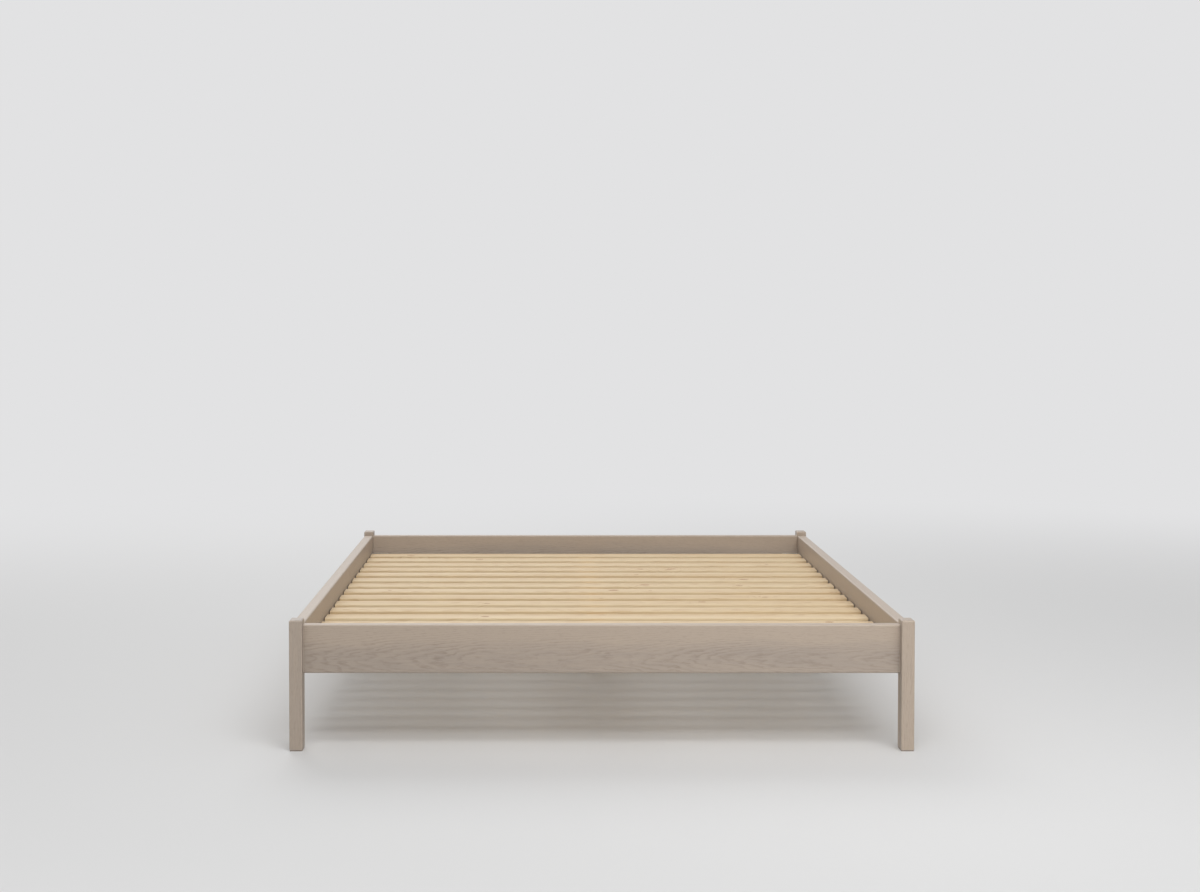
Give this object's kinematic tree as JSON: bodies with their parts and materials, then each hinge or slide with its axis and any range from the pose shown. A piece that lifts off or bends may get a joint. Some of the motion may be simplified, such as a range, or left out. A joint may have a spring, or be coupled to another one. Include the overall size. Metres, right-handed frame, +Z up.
{
  "type": "wooden bed frame",
  "caption": "Low wooden bed frame: corner posts, plain rails, slats in a lift-out roll on ledgers and a centre beam with a levelling leg; holds a double mattress.",
  "frame": {"origin": "on the floor, under the middle of the frame", "axes": "+X across the bed to the right as seen from the foot end, +Y from the foot end to the head end, +Z up"},
  "size_m": [1.47, 2.03, 0.309],
  "materials": {
    "bed_wood": "grey-beige oak, open grain, matt lacquer",
    "slat_wood": "sanded pine, no finish",
    "dowel_wood": "beech, no finish",
    "zinc_steel": "zinc plated",
    "black_steel": "black oxide",
    "brass": "plain brass",
    "nylon": "moulded, matt, grey-brown",
    "webbing": "woven polyester tape"
  },
  "bodies": {
    "frame": {"foot_rail": "bed_wood", "head_rail": "bed_wood", "side_rail_left": "bed_wood", "side_rail_right": "bed_wood", "post_foot_left": "bed_wood", "post_foot_right": "bed_wood", "post_head_left": "bed_wood", "post_head_right": "bed_wood", "slat_ledger_left": "slat_wood", "slat_ledger_right": "slat_wood", "centre_beam": "slat_wood", "centre_leg": "slat_wood", "end_rail_dowels": "dowel_wood", "side_rail_dowels": "dowel_wood", "slat_pegs": "dowel_wood", "corner_bracket_foot_left": "zinc_steel", "corner_bracket_foot_right": "zinc_steel", "corner_bracket_head_left": "zinc_steel", "corner_bracket_head_right": "zinc_steel", "beam_saddle_foot": "zinc_steel", "beam_saddle_head": "zinc_steel", "leg_plate": "zinc_steel", "leg_hanger_bolt": "zinc_steel", "leveller_insert": "zinc_steel", "corner_washers": "zinc_steel", "ledger_screws": "zinc_steel", "saddle_screws": "zinc_steel", "leg_plate_screws": "zinc_steel", "glide_nails": "zinc_steel", "corner_bolts": "black_steel", "corner_inserts": "brass", "post_glide_foot_left": "nylon", "post_glide_foot_right": "nylon", "post_glide_head_left": "nylon", "post_glide_head_right": "nylon"},
    "slat_roll": {"slat_01": "slat_wood", "slat_02": "slat_wood", "slat_03": "slat_wood", "slat_04": "slat_wood", "slat_05": "slat_wood", "slat_06": "slat_wood", "slat_07": "slat_wood", "slat_08": "slat_wood", "slat_09": "slat_wood", "slat_10": "slat_wood", "slat_11": "slat_wood", "slat_12": "slat_wood", "slat_13": "slat_wood", "slat_14": "slat_wood", "slat_15": "slat_wood", "slat_tape_left": "webbing", "slat_tape_right": "webbing", "tape_staples": "zinc_steel"},
    "leveller_foot": {"leveller_pad": "nylon"},
    "leveller_screw": {"leveller_stem": "zinc_steel"}
  },
  "joints": [
    {"name": "slat_lift", "type": "slide", "parent": "frame", "child": "slat_roll", "axis": [0, 0, 1], "range_m": [0, 0.12]},
    {"name": "leveller_travel", "type": "slide", "parent": "frame", "child": "leveller_foot", "axis": [0, 0, 1], "range_m": [-0.005, 0.015]},
    {"name": "leveller_turn", "type": "hinge", "parent": "leveller_foot", "child": "leveller_screw", "pos_m": [0, 0.07, 0], "axis": [0, 0, 1], "range_deg": [-1201, 3601]}
  ],
  "couplings": [
    {"joint": "leveller_turn", "follows": "leveller_travel", "rad_per_m": 4188.8}
  ]
}
